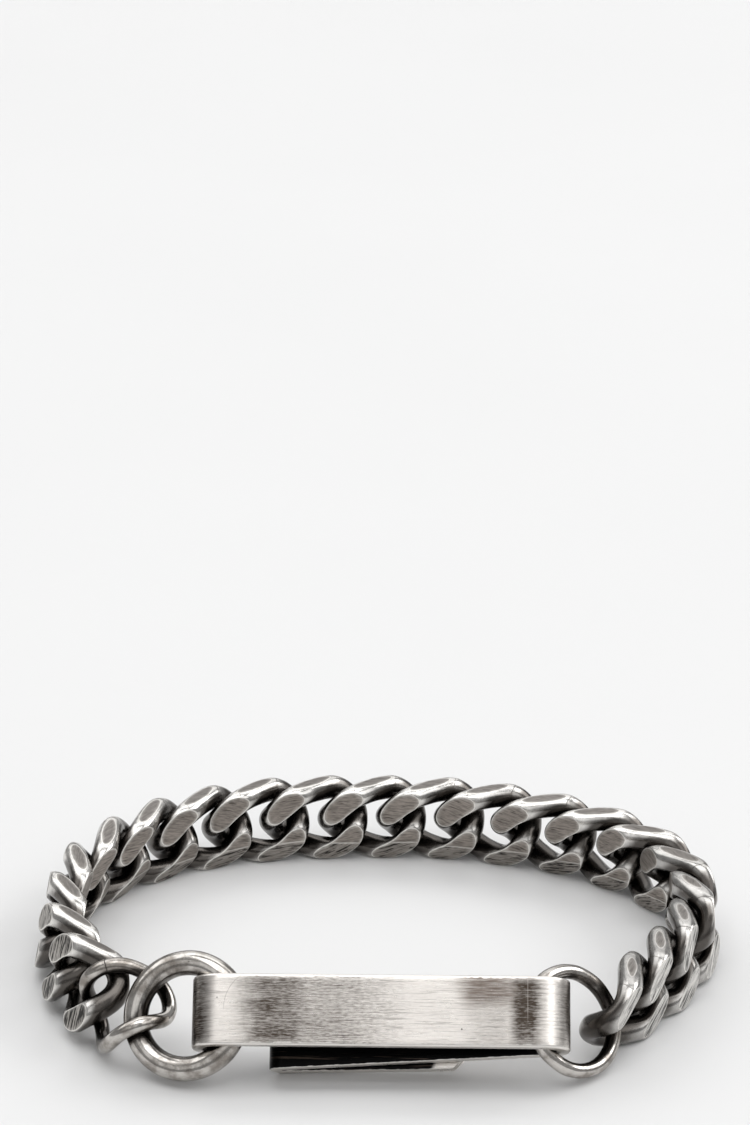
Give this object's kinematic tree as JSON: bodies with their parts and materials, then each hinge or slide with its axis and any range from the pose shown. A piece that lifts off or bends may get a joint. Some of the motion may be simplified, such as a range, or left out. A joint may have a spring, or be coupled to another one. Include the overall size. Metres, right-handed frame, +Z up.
{
  "type": "chain bracelet",
  "caption": "Closed curb-link bracelet standing on its edge, with a folded spring-strip hook clasp at the front, a ring at each end of it, and a plain twisted end link.",
  "frame": {"origin": "middle of the bracelet's footprint, on the surface it stands on", "axes": "+X along the clasp towards the small ring, +Y away from the clasp to the back of the loop, +Z up, along the wrist"},
  "size_m": [0.0747, 0.0539, 0.0119],
  "materials": {
    "filed_links": "oxidised silver, filed facets with worn bright edges and black recesses",
    "polished_wire": "oxidised silver wire, rubbed to a soft shine with small pits",
    "brushed_strip": "silver strip brushed along its length, blackened on the inside"
  },
  "bodies": {
    "root": {"clasp_strip": "brushed_strip", "big_ring": "polished_wire", "small_ring": "polished_wire", "end_link": "polished_wire", "link_01": "filed_links", "link_02": "filed_links", "link_03": "filed_links", "link_04": "filed_links", "link_05": "filed_links", "link_06": "filed_links", "link_07": "filed_links", "link_08": "filed_links", "link_09": "filed_links", "link_10": "filed_links", "link_11": "filed_links", "link_12": "filed_links", "link_13": "filed_links", "link_14": "filed_links", "link_15": "filed_links", "link_16": "filed_links", "link_17": "filed_links", "link_18": "filed_links", "link_19": "filed_links", "link_20": "filed_links"}
  },
  "joints": []
}
